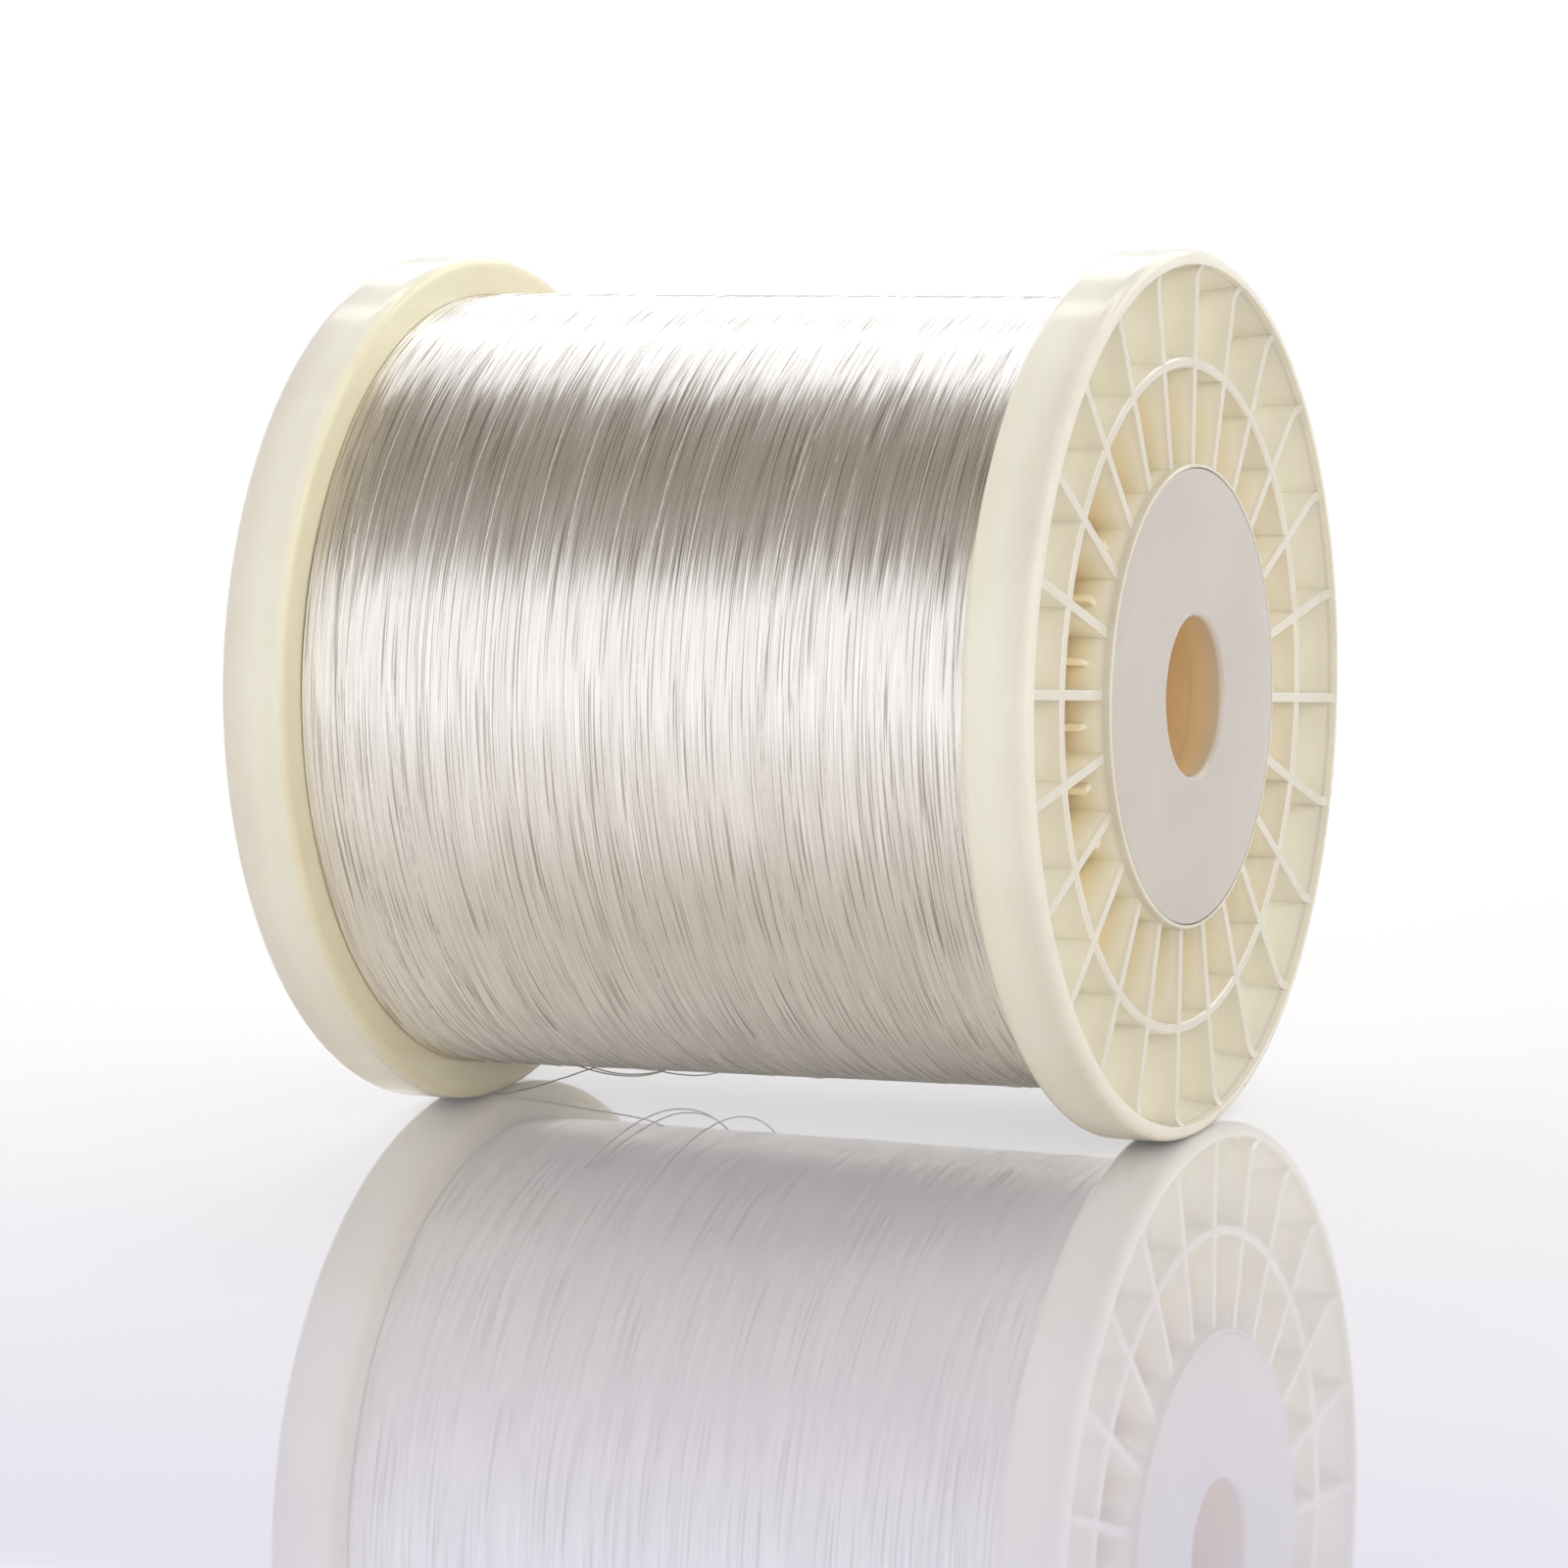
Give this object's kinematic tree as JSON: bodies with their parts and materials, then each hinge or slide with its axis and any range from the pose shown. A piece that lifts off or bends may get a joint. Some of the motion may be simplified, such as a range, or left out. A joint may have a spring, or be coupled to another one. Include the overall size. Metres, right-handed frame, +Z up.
{
  "type": "flanged line spool",
  "caption": "Flanged plastic spool with ribbed end faces, wound full of fine metal line, with a few slack strands and a loose tail.",
  "frame": {"origin": "centre of the spindle bore, halfway between the two end faces", "axes": "+X along the spindle bore towards the right flange, +Z up; the spool lies on the rims of its flanges at z = -0.1 m"},
  "size_m": [0.1944, 0.2, 0.2],
  "materials": {
    "flange_plastic": "moulded translucent cream plastic, soft gloss",
    "cap_plastic": "moulded translucent plastic, slightly pinker, soft gloss",
    "tube_plastic": "extruded translucent plastic, amber in its depth",
    "metal_line": "fine drawn metal line, bright"
  },
  "bodies": {
    "root": {"left_flange": "flange_plastic", "right_flange": "flange_plastic", "barrel": "tube_plastic", "spindle_tube": "tube_plastic", "left_hub_cap": "cap_plastic", "right_hub_cap": "cap_plastic", "line_pack": "metal_line", "line_outer_layer": "metal_line", "slack_strand_1": "metal_line", "slack_strand_2": "metal_line", "slack_strand_3": "metal_line", "line_tail": "metal_line"}
  },
  "joints": []
}
